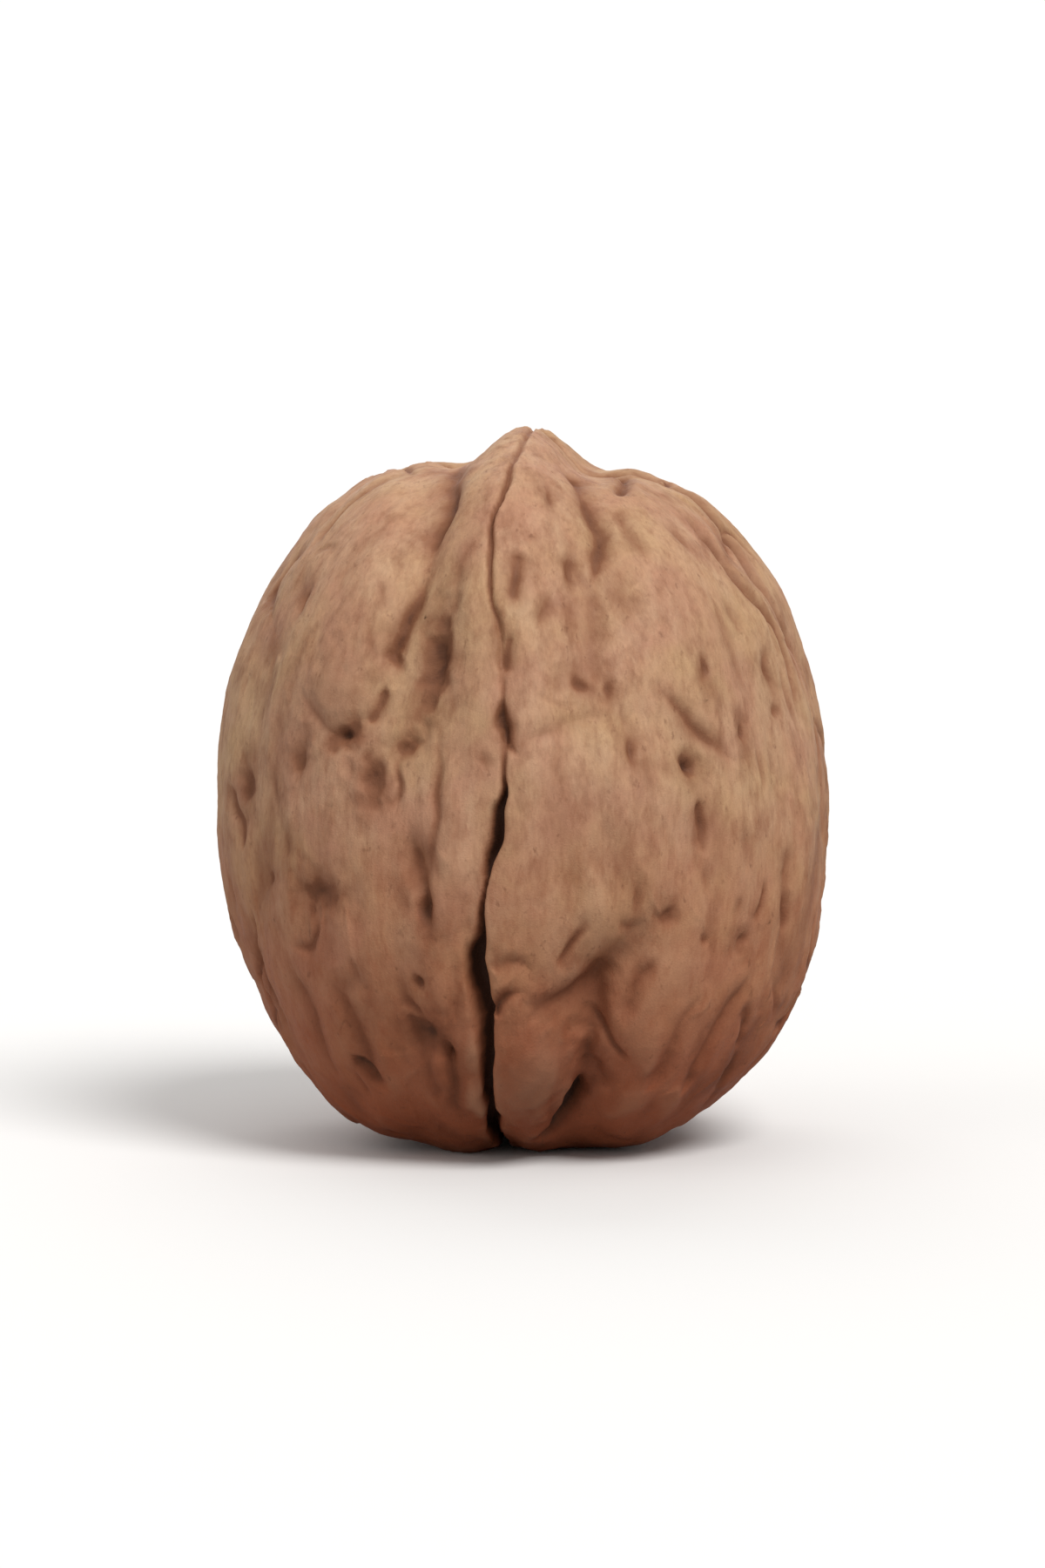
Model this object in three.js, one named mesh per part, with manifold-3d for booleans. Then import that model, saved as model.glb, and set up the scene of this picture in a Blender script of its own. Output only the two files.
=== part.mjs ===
// A whole English walnut in its shell, standing on its stem end with the tip up.
//
// Millimetres, +Z up. The origin is on the surface that the nut stands on, under its middle.
// The seam between the two half shells runs right round the nut in the YZ plane, over the tip and
// under the foot, and its front side faces -Y. The cheeks, one on each half shell, face +X and -X.
// The nut grew as one piece, so it is one closed solid.

import * as THREE from "three";
import { mergeVertices } from "three/addons/utils/BufferGeometryUtils.js";
import Module from "manifold-3d";

// Driving sizes.
const NUT_HEIGHT = 41; // foot to tip
const NUT_WIDTH = 35; // cheek to cheek, along X
const NUT_DEPTH = 36; // seam to seam, along Y

// The smooth body under the seam, furrows and swellings. Its outline is a superellipse: the
// higher "outward" is, the squarer its shoulder, and the higher "upward" is, the straighter its side.
const WIDEST_AT = 0.43 * NUT_HEIGHT; // height of its widest section
const FOOT_CUT = 0.4; // how much of its rounded bottom the flat foot takes off
const CROWN = { reach: 0.957 * NUT_HEIGHT - WIDEST_AT, outward: 3.1, upward: 1.9 };
const BASE = { reach: WIDEST_AT + FOOT_CUT, outward: 2.6, upward: 2.05 };

// The grid that the shell is formed on.
const GRID = 28; // cells along each side of each face of the starting box
const GRID_PINCH = 0.2; // how far the grid lines gather at the seam and at the cheeks' furrows

// The seam: a raised double lip with a crack along its middle. Profiles are [share of height, mm].
const LIP_REACH = 2.5; // half width of the raised band
const LIP_RISE = [[0, 0.3], [0.3, 0.3], [0.6, 0.8], [0.8, 1.1], [1, 0.9]];
const FLANK = { at: 4.5, reach: 1.4, depth: 0.35 }; // the shallow gutter on each side of the lip
const CRACK_REACH = 0.8;
const CRACK_DEPTH = [[0, 1.2], [0.45, 1.1], [0.57, 0.4], [0.85, 0.3], [0.95, 0]];
const SWAY_REACH = 6; // how far from the seam the shell follows its sideways sway
const FRONT_SWAY = [
  [0, -0.2], [0.14, -0.5], [0.33, -0.8], [0.48, 0.3], [0.6, 1.3], [0.72, 1], [0.85, 0.1], [1, 0.5],
];
const BACK_SWAY = [
  [0, -0.2], [0.2, 0.4], [0.42, -0.5], [0.6, 0.3], [0.82, 0.6], [0.95, 0.4], [1, 0.5],
];

// The tip: a short blunt beak where the lips of the seam meet, drawn out along the seam.
const TIP = { rise: 1.5, reachX: 2, reachY: 3.6, lean: 0.6, sharpness: 1.5 };

// The stem end: four lobes parted by the seam and by a furrow across it, round a stem scar.
const SCAR = { reach: 2, depth: 1 };
const CROSS_FURROW = { reach: 1.1, depth: 0.8, top: 0.2 };
const LOBES = { rise: 0.7, top: 0.45, from: 12 }; // full height from this far off the axis

// Furrows run down the shell. A route's points are [degrees from the front seam towards +X, share
// of height]; depth and reach are in mm.
const FURROWS = [
  // Front, beside the seam.
  {
    depth: 1,
    reach: 1.6,
    route: [[-30, 0.93], [-19, 0.85], [-18, 0.8], [-20, 0.75], [-23, 0.68], [-23, 0.61]],
  },
  {
    depth: 0.7,
    reach: 1.5,
    route: [[29, 0.94], [31, 0.9], [29, 0.86], [26, 0.81], [22, 0.74], [20, 0.68]],
  },
  {
    depth: 1.5,
    reach: 1.7,
    route: [[31, 0.33], [24, 0.28], [21, 0.21], [23, 0.14], [24, 0.03]],
  },
  // Round the swelling to the right of the front seam.
  {
    depth: 0.45,
    reach: 1.5,
    route: [[8, 0.61], [18, 0.63], [30, 0.63], [40, 0.59], [43, 0.54], [42, 0.47], [44, 0.38]],
  },
  // The +X cheek.
  {
    depth: 0.45,
    reach: 1.6,
    route: [[62, 0.9], [58, 0.72], [63, 0.5], [59, 0.3]],
  },
  {
    depth: 0.75,
    reach: 1.5,
    route: [[90, 0.96], [86, 0.8], [92, 0.62], [88, 0.45], [93, 0.25], [90, 0.06]],
  },
  {
    depth: 0.6,
    reach: 1.6,
    route: [[122, 0.92], [116, 0.74], [124, 0.52], [118, 0.3], [123, 0.1]],
  },
  // The -X cheek.
  {
    depth: 0.45,
    reach: 1.6,
    route: [[-52, 0.8], [-58, 0.62], [-55, 0.42], [-61, 0.22]],
  },
  {
    depth: 0.75,
    reach: 1.5,
    route: [[-90, 0.96], [-94, 0.78], [-88, 0.6], [-93, 0.42], [-89, 0.22], [-91, 0.05]],
  },
  {
    depth: 0.55,
    reach: 1.6,
    route: [[-120, 0.9], [-127, 0.68], [-120, 0.46], [-125, 0.2]],
  },
  // Back, beside the seam.
  {
    depth: 0.6,
    reach: 1.6,
    route: [[156, 0.94], [151, 0.8], [156, 0.6], [150, 0.4], [155, 0.18]],
  },
  {
    depth: 0.6,
    reach: 1.6,
    route: [[-153, 0.93], [-160, 0.76], [-153, 0.56], [-159, 0.36], [-152, 0.12]],
  },
];
const ROUTE_STEPS = 60;

// Broad swellings, and hollows where rise is negative. Sizes are in mm.
const SWELLINGS = [
  { at: [21, 0.48], rise: 0.8, across: 5, along: 6 },
  { at: [10, 0.17], rise: 0.5, across: 3, along: 5 },
  { at: [-30, 0.8], rise: 0.4, across: 6, along: 5 },
  { at: [-75, 0.945], rise: 0.6, across: 5, along: 4 },
  { at: [-38, 0.4], rise: -0.35, across: 6, along: 7 },
  { at: [-75, 0.2], rise: -0.6, across: 9, along: 7 },
  { at: [75, 0.2], rise: 0.35, across: 8, along: 7 },
  { at: [50, 0.75], rise: 0.4, across: 7, along: 6 },
  { at: [75, 0.38], rise: 0.4, across: 6, along: 9 },
  { at: [106, 0.66], rise: 0.45, across: 6, along: 7 },
  { at: [140, 0.45], rise: 0.4, across: 6, along: 9 },
  { at: [168, 0.3], rise: -0.35, across: 6, along: 6 },
  { at: [-170, 0.68], rise: 0.35, across: 5, along: 8 },
  { at: [-140, 0.5], rise: 0.45, across: 7, along: 7 },
  { at: [-105, 0.32], rise: 0.45, across: 6, along: 7 },
  { at: [-72, 0.68], rise: 0.4, across: 6, along: 7 },
];

const GROUND = new THREE.Vector3(2 * NUT_WIDTH, 2 * NUT_DEPTH, NUT_HEIGHT); // the block that cuts the foot
const SHELL_TAN = 0xb08768;

const { clamp, degToRad, smoothstep } = THREE.MathUtils;

/** How strongly a feature is felt at a distance from it: 1 on it, and near 0 past twice its reach. */
function nearness(distance, reach) {
  return Math.exp(-((distance / reach) ** 2));
}

/** Where a height lies between the foot, 0, and the tip, 1. */
function shareOfHeight(z) {
  return clamp(z / NUT_HEIGHT, 0, 1);
}

/** The [share, value] points of a profile as a function of the share. */
function profile(points, Interpolant) {
  const shares = points.map(([share]) => share);
  const values = points.map(([, value]) => value);
  const curve = new Interpolant(shares, values, 1);
  return (share) => curve.evaluate(share)[0];
}
const lipRise = profile(LIP_RISE, THREE.LinearInterpolant);
const crackDepth = profile(CRACK_DEPTH, THREE.LinearInterpolant);
const frontSway = profile(FRONT_SWAY, THREE.CubicInterpolant);
const backSway = profile(BACK_SWAY, THREE.CubicInterpolant);

/** Whether a place, measured from the middle of the widest section, is inside the smooth body. */
function isInBody({ x, y, z }) {
  const half = z > 0 ? CROWN : BASE;
  const outward = Math.hypot(x / (NUT_WIDTH / 2), y / (NUT_DEPTH / 2));
  return outward ** half.outward + (Math.abs(z) / half.reach) ** half.upward < 1;
}

/** The body's point straight out from its middle in a direction, found by halving the span. */
function bodyPoint(direction) {
  let inside = 0;
  let outside = NUT_HEIGHT;
  while (outside - inside > 1e-6) {
    const middle = (inside + outside) / 2;
    if (isInBody(direction.clone().multiplyScalar(middle))) inside = middle;
    else outside = middle;
  }
  const point = direction.clone().multiplyScalar(inside);
  point.z += WIDEST_AT;
  return point;
}

/** The body's point at an angle from the front seam and a share of the height. */
function pointAt([degrees, share]) {
  const z = share * NUT_HEIGHT;
  const half = z > WIDEST_AT ? CROWN : BASE;
  const upward = Math.min(Math.abs(z - WIDEST_AT) / half.reach, 1);
  const outward = (1 - upward ** half.upward) ** (1 / half.outward);
  const angle = degToRad(degrees);
  const x = (NUT_WIDTH / 2) * outward * Math.sin(angle);
  const y = (-NUT_DEPTH / 2) * outward * Math.cos(angle);
  return new THREE.Vector3(x, y, z);
}

/** Sideways offset of the seam at a point's height, on the point's side of the nut. */
function seamOffset(point) {
  const share = shareOfHeight(point.z);
  return point.y < 0 ? frontSway(share) : backSway(share);
}

/** The lips of the seam, the gutters beside them and the crack between them. */
function seamRelief(point) {
  const share = shareOfHeight(point.z);
  const distance = Math.abs(point.x);
  const lips = lipRise(share) * nearness(distance, LIP_REACH);
  const gutters = FLANK.depth * nearness(distance - FLANK.at, FLANK.reach);
  const crack = crackDepth(share) * nearness(distance, CRACK_REACH);
  return lips - gutters - crack;
}

/** The four lobes of the stem end, the furrow across the seam and the stem scar. */
function stemEndRelief(point) {
  if (point.z > WIDEST_AT) return 0;
  const share = shareOfHeight(point.z);
  const fromAxis = Math.hypot(point.x, point.y);
  const quarters = Math.sin(2 * Math.atan2(point.y, point.x)) ** 2;
  const lobeRise = LOBES.rise * (1 - smoothstep(share, 0, LOBES.top)) * smoothstep(fromAxis, 0, LOBES.from);
  const crossDepth = CROSS_FURROW.depth * (1 - smoothstep(share, 0, CROSS_FURROW.top));
  const cross = crossDepth * nearness(point.y, CROSS_FURROW.reach);
  return lobeRise * quarters - cross - SCAR.depth * nearness(fromAxis, SCAR.reach);
}

/** How far the beak of the tip stands up over the crown, over or beside a point. */
function tipRise(point) {
  if (point.z < WIDEST_AT) return 0;
  const distance = Math.hypot((point.x - TIP.lean) / TIP.reachX, point.y / TIP.reachY);
  return TIP.rise * Math.exp(-(distance ** TIP.sharpness));
}

/** Furrows as lists of points on the body, each with how deep the furrow is there. */
const furrows = FURROWS.map(({ route, depth, reach }) => {
  const curve = new THREE.CatmullRomCurve3(route.map(pointAt));
  const steps = curve.getSpacedPoints(ROUTE_STEPS).map((point, i) => {
    const runOut = Math.sin((Math.PI * (i + 1)) / (ROUTE_STEPS + 2)) ** 0.4;
    return { point, depth: depth * runOut };
  });
  return { steps, reach };
});

/** The deepest furrow felt at a point. */
function furrowDepth(point) {
  const distanceTo = (step) => step.point.distanceTo(point);
  const felt = furrows.map(({ steps, reach }) => {
    const nearest = steps.reduce((a, b) => (distanceTo(a) < distanceTo(b) ? a : b));
    return nearest.depth * nearness(distanceTo(nearest), reach);
  });
  return Math.max(...felt);
}

const swellings = SWELLINGS.map((swelling) => ({ ...swelling, middle: pointAt(swelling.at) }));

/** The broad swellings and hollows, together. */
function swellingRelief(point) {
  return swellings.reduce((sum, { middle, rise, across, along }) => {
    const sideways = Math.hypot(point.x - middle.x, point.y - middle.y);
    return sum + rise * nearness(sideways, across) * nearness(point.z - middle.z, along);
  }, 0);
}

/** The shell's point straight out from its middle in a direction. */
function shellPoint(direction) {
  const point = bodyPoint(direction);
  const relief = seamRelief(point) + stemEndRelief(point) + swellingRelief(point) - furrowDepth(point);
  const moved = point.clone().addScaledVector(direction, relief);
  moved.x += seamOffset(point) * nearness(point.x, SWAY_REACH);
  moved.z += tipRise(point);
  return moved;
}

/** A grid coordinate from -1 to 1, moved so that the cells have even angles, or gather in the middle. */
function spreadEvenly(value, pinch) {
  return Math.tan((Math.PI / 4) * ((1 - pinch) * value + pinch * value ** 3));
}

/** A closed box grid with nothing but positions, its vertices shared. */
function boxGrid(size, cells) {
  const box = new THREE.BoxGeometry(...size, cells, cells, cells);
  box.deleteAttribute("normal");
  box.deleteAttribute("uv");
  return mergeVertices(box);
}

/** The whole shell as a closed geometry, with its rounded bottom still on. */
function shellGeometry() {
  const shell = boxGrid(new THREE.Vector3(2, 2, 2), GRID);
  const position = shell.getAttribute("position");
  for (let i = 0; i < position.count; i++) {
    const direction = new THREE.Vector3(
      spreadEvenly(position.getX(i), GRID_PINCH),
      spreadEvenly(position.getY(i), GRID_PINCH),
      spreadEvenly(position.getZ(i), 0),
    );
    position.setXYZ(i, ...shellPoint(direction.normalize()));
  }
  return shell;
}

const wasm = await Module();
wasm.setup();

/** A closed geometry with shared vertices as a solid. */
function solidOf(geometry) {
  const vertProperties = new Float32Array(geometry.getAttribute("position").array);
  const triVerts = new Uint32Array(geometry.index.array);
  return new wasm.Manifold(new wasm.Mesh({ numProp: 3, vertProperties, triVerts }));
}

/** A solid as a geometry. */
function geometryOf(solid) {
  const { vertProperties, triVerts } = solid.getMesh();
  return new THREE.BufferGeometry()
    .setAttribute("position", new THREE.BufferAttribute(vertProperties, 3))
    .setIndex(new THREE.BufferAttribute(triVerts, 1));
}

/** The shell with its foot cut flat on the ground. */
function footed(shell) {
  const ground = boxGrid(GROUND, 1).translate(0, 0, -GROUND.z / 2);
  return geometryOf(solidOf(shell).subtract(solidOf(ground)));
}

/** The geometry brought to the driving sizes, with the origin under its middle. */
function fitted(geometry) {
  geometry.computeBoundingBox();
  const { min, max } = geometry.boundingBox;
  geometry.translate(-(min.x + max.x) / 2, -(min.y + max.y) / 2, -min.z);
  geometry.scale(NUT_WIDTH / (max.x - min.x), NUT_DEPTH / (max.y - min.y), NUT_HEIGHT / (max.z - min.z));
  geometry.computeVertexNormals();
  return geometry;
}

/** The walnut, as one named mesh. */
function walnut() {
  const material = new THREE.MeshStandardMaterial({ color: SHELL_TAN, roughness: 0.7, metalness: 0 });
  const mesh = new THREE.Mesh(fitted(footed(shellGeometry())), material);
  mesh.name = "walnut";
  return mesh;
}

const nut = new THREE.Group();
nut.add(walnut());

export default nut;
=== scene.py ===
"""A whole walnut in its shell, standing on its stem end with the tip up.

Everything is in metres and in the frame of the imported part, +Z up. Sizes of the shell's relief are
in millimetres. The seam between the two half shells lies in the YZ plane, and its front side faces
-Y. A place on the shell is an angle from the front seam towards +X, in degrees, and a share of the
nut's height.
"""

import logging
import math
import random
from dataclasses import dataclass, field
from enum import Enum
from typing import Any, Sequence

import bpy
import numpy as np
from mathutils import Euler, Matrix, Vector, bvhtree, kdtree, noise


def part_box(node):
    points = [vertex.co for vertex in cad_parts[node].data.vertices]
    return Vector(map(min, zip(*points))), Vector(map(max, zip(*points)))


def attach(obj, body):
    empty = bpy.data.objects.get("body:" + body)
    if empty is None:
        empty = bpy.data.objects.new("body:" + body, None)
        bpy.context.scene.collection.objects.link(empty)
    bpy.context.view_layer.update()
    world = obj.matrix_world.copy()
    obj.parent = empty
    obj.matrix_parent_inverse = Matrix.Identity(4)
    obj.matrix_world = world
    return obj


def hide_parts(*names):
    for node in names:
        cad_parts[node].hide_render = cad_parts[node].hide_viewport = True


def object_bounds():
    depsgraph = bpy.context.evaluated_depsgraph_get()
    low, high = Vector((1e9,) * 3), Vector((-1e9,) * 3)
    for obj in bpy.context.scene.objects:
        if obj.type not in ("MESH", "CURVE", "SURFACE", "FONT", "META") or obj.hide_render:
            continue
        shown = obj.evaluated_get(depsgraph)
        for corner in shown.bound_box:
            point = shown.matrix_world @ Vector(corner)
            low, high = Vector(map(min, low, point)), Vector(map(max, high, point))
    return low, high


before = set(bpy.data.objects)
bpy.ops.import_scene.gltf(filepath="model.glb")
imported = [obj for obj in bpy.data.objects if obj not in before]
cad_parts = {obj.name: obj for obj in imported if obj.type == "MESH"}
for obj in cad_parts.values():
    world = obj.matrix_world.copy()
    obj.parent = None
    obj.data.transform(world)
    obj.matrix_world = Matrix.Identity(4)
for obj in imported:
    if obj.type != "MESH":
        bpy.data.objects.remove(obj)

CAD_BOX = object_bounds()
MM = 0.001
WOBBLE_SEED = 2  # settles the offsets that mathutils' vector noise otherwise draws anew in each run

Colour = tuple[float, float, float]
Place = tuple[float, float]  # degrees from the front seam towards +X, and share of the height

log = logging.getLogger("walnut")


# ---------------------------------------------------------------- small tools


def select_only(obj: bpy.types.Object) -> None:
    """Makes an object the only selected one and the active one.

    Args:
        obj: The object to work on.
    """
    bpy.ops.object.select_all(action="DESELECT")
    obj.select_set(True)
    bpy.context.view_layer.objects.active = obj


def apply_modifier(obj: bpy.types.Object, kind: str, **settings: Any) -> None:
    """Adds a modifier to an object and applies it.

    Args:
        obj: The object that it works on.
        kind: The modifier's type, as bpy names it.
        **settings: Its settings.
    """
    select_only(obj)
    modifier = obj.modifiers.new(kind.lower(), kind)
    for name, value in settings.items():
        setattr(modifier, name, value)
    bpy.ops.object.modifier_apply(modifier=modifier.name)


def read_points(mesh: bpy.types.Mesh) -> np.ndarray:
    """Reads the places of a mesh's vertices.

    Args:
        mesh: The mesh.

    Returns:
        One row for each vertex.
    """
    values = np.empty(len(mesh.vertices) * 3, np.float32)
    mesh.vertices.foreach_get("co", values)
    return values.reshape(-1, 3).astype(float)


def read_corners(mesh: bpy.types.Mesh, sides: int) -> np.ndarray:
    """Reads which vertices each face of a mesh joins, one face to a row.

    Args:
        mesh: The mesh, whose faces all have the same number of sides.
        sides: That number.

    Returns:
        The vertices' numbers.
    """
    values = np.empty(len(mesh.loops), np.int32)
    mesh.loops.foreach_get("vertex_index", values)
    return values.reshape(-1, sides)


def face_normals_at_points(points: np.ndarray, faces: np.ndarray) -> np.ndarray:
    """Averages the normals of four-sided faces at their corners.

    Args:
        points: The mesh's points.
        faces: The four points of each face, by number.

    Returns:
        One unit row for each point.
    """
    a, b, c, d = points[faces].transpose(1, 0, 2)
    across = np.cross(c - a, d - b)
    corners = faces.ravel()
    summed = [np.bincount(corners, np.repeat(across[:, i], 4), len(points)) for i in range(3)]
    normals = np.stack(summed, axis=1)
    return normals / np.linalg.norm(normals, axis=1)[:, None]


def write_attribute(mesh: bpy.types.Mesh, name: str, values: np.ndarray) -> None:
    """Stores one number or one vector for each vertex of a mesh.

    Args:
        mesh: The mesh.
        name: The attribute's name, which the material reads.
        values: One number or one row of three for each vertex.
    """
    is_vector = values.ndim == 2
    attribute = mesh.attributes.new(name, "FLOAT_VECTOR" if is_vector else "FLOAT", "POINT")
    attribute.data.foreach_set("vector" if is_vector else "value", values.astype(np.float32).ravel())


def smoothstep(low: float, high: float, values: np.ndarray) -> np.ndarray:
    """Eases values from 0 at low to 1 at high.

    Args:
        low: Where the rise starts.
        high: Where it ends.
        values: What to ease.

    Returns:
        The eased values.
    """
    t = np.clip((values - low) / (high - low), 0, 1)
    return t * t * (3 - 2 * t)


def eased(profile: Sequence[tuple[float, float]], at: np.ndarray) -> np.ndarray:
    """Reads a profile, easing from each of its points to the next.

    Args:
        profile: Its (place, value) points, in order.
        at: The places to read it at.

    Returns:
        The value at each place.
    """
    places, values = np.array(profile).T
    i = np.clip(np.searchsorted(places, at) - 1, 0, len(places) - 2)
    t = np.clip((at - places[i]) / (places[i + 1] - places[i]), 0, 1)
    return values[i] + (values[i + 1] - values[i]) * t * t * (3 - 2 * t)


def notch(distance: np.ndarray, reach: np.ndarray | float, squareness: float) -> np.ndarray:
    """The cross-section of a cut, 1 in its middle and half of that at its reach.

    Args:
        distance: Distance from its middle line.
        reach: Half its width.
        squareness: 2 gives a soft valley, and 5 or more gives steep walls.

    Returns:
        How much of the cut's depth is felt at each distance.
    """
    return 1 / (1 + (np.abs(distance) / reach) ** squareness)


def noise_at(points: np.ndarray, size: float, seed: int) -> np.ndarray:
    """Smooth noise from about -1 to 1.

    Args:
        points: Where to read it.
        size: The size of its features, in the points' unit.
        seed: Which noise.

    Returns:
        One value for each point.
    """
    return np.array([noise.noise(point) for point in (points / size + 19.7 * seed).tolist()])


def wobble_at(points: np.ndarray, size: float, seed: int) -> np.ndarray:
    """Smooth noise vectors, each part from about -1 to 1.

    Args:
        points: Where to read them.
        size: The size of their features, in the points' unit.
        seed: Which noise.

    Returns:
        One row for each point.
    """
    noise.seed_set(WOBBLE_SEED)
    return np.array([noise.noise_vector(point)[:] for point in (points / size + 19.7 * seed).tolist()])


def cells_at(points: np.ndarray, across: float, along: float) -> tuple[np.ndarray, np.ndarray]:
    """Irregular cells drawn out along the points' third axis.

    Args:
        points: Where to read them.
        across: A cell's usual width.
        along: Its usual length.

    Returns:
        The distance to the nearest border of a cell, and a number from 0 to 1 that each cell has for
        its own.
    """
    scale = np.array([1 / across, 1 / across, 1 / along])
    found = [noise.voronoi(point) for point in (points * scale).tolist()]
    gaps = np.array([distances[:2] for distances, _ in found])
    first = np.array([middles[0][:] for _, middles in found])
    second = np.array([middles[1][:] for _, middles in found])
    apart = np.linalg.norm(second - first, axis=1) + 1e-9
    normal = (second - first) / apart[:, None]
    border = (gaps[:, 1] ** 2 - gaps[:, 0] ** 2) / (2 * apart)
    return border / np.linalg.norm(normal * scale, axis=1), (first @ np.array([7.3, 3.1, 5.7])) % 1


# ---------------------------------------------------------------- the shell's relief


@dataclass(frozen=True)
class Bend:
    """One wobble that coordinates get. Sizes are in mm."""

    reach: float
    size: float
    seed: int


def bent(points: np.ndarray, bends: Sequence[Bend]) -> np.ndarray:
    """Bends coordinates this way and that.

    Args:
        points: The coordinates, one row for each point.
        bends: The wobbles that they get.

    Returns:
        The bent coordinates.
    """
    result = points.copy()
    for bend in bends:
        result += bend.reach * wobble_at(points, bend.size, bend.seed)
    return result


class Cut(Enum):
    """What a line on the shell is, by the squareness of its cross-section."""

    VALLEY = 2.0
    FURROW = 2.6
    CRACK = 5.0


@dataclass(frozen=True)
class Line:
    """A furrow, crease or crack that runs along the shell. Sizes are in mm."""

    cut: Cut
    depth: float
    reach: float
    stain_and_shade: float  # how brown it is with painted shade, from 0 to 1, and more for the painted black shade of a crack
    route: tuple[Place, ...]
    fade: tuple[float, float] = (3.0, 3.0)  # over what length it grows from nothing at each end


@dataclass(frozen=True)
class Pit:
    """A dent in the shell. Sizes are in mm, and its length is down the shell unless it leans."""

    place: Place
    depth: float
    width: float
    length: float
    lean: float = 0.0  # degrees


@dataclass(frozen=True)
class SeamSide:
    """One side of the seam. Each profile's points are a share of the height and mm."""

    sway: tuple[tuple[float, float], ...]
    gape: tuple[tuple[float, float], ...]  # half the width of the crack
    depth: tuple[tuple[float, float], ...]


FRONT_SEAM = SeamSide(
    sway=(
        *((0, -0.6), (0.13, -0.3), (0.2, -0.3), (0.3, -0.6), (0.36, -0.35), (0.42, 0.2), (0.47, 0.55)),
        *((0.5, 0.5), (0.54, 0.95), (0.6, 1.2), (0.66, 0.8), (0.72, 0.6), (0.8, -0.1), (0.88, -0.3)),
        *((0.94, 0.2), (1, 0.5)),
    ),
    gape=(
        *((0, 0.2), (0.1, 0.23), (0.2, 0.28), (0.27, 0.36), (0.31, 0.3), (0.36, 0.16), (0.4, 0.12)),
        *((0.43, 0.18), (0.47, 0.27), (0.5, 0.24), (0.54, 0.15), (0.6, 0.13), (1, 0.16)),
    ),
    depth=(
        *((0, 1.1), (0.3, 1.4), (0.36, 0.7), (0.39, 0.5), (0.46, 1.1), (0.52, 0.9), (0.56, 0.3)),
        *((0.7, 0.17), (0.9, 0.4), (0.99, 0.2)),
    ),
)
BACK_SEAM = SeamSide(
    sway=((0, -0.2), (0.2, 0.4), (0.42, -0.5), (0.6, 0.3), (0.82, 0.6), (0.95, 0.4), (1, 0.5)),
    gape=((0, 0.3), (0.12, 0.25), (0.2, 0.14), (1, 0.12)),
    depth=((0, 1.2), (0.12, 0.9), (0.2, 0.4), (0.5, 0.3), (0.99, 0.2)),
)

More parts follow.
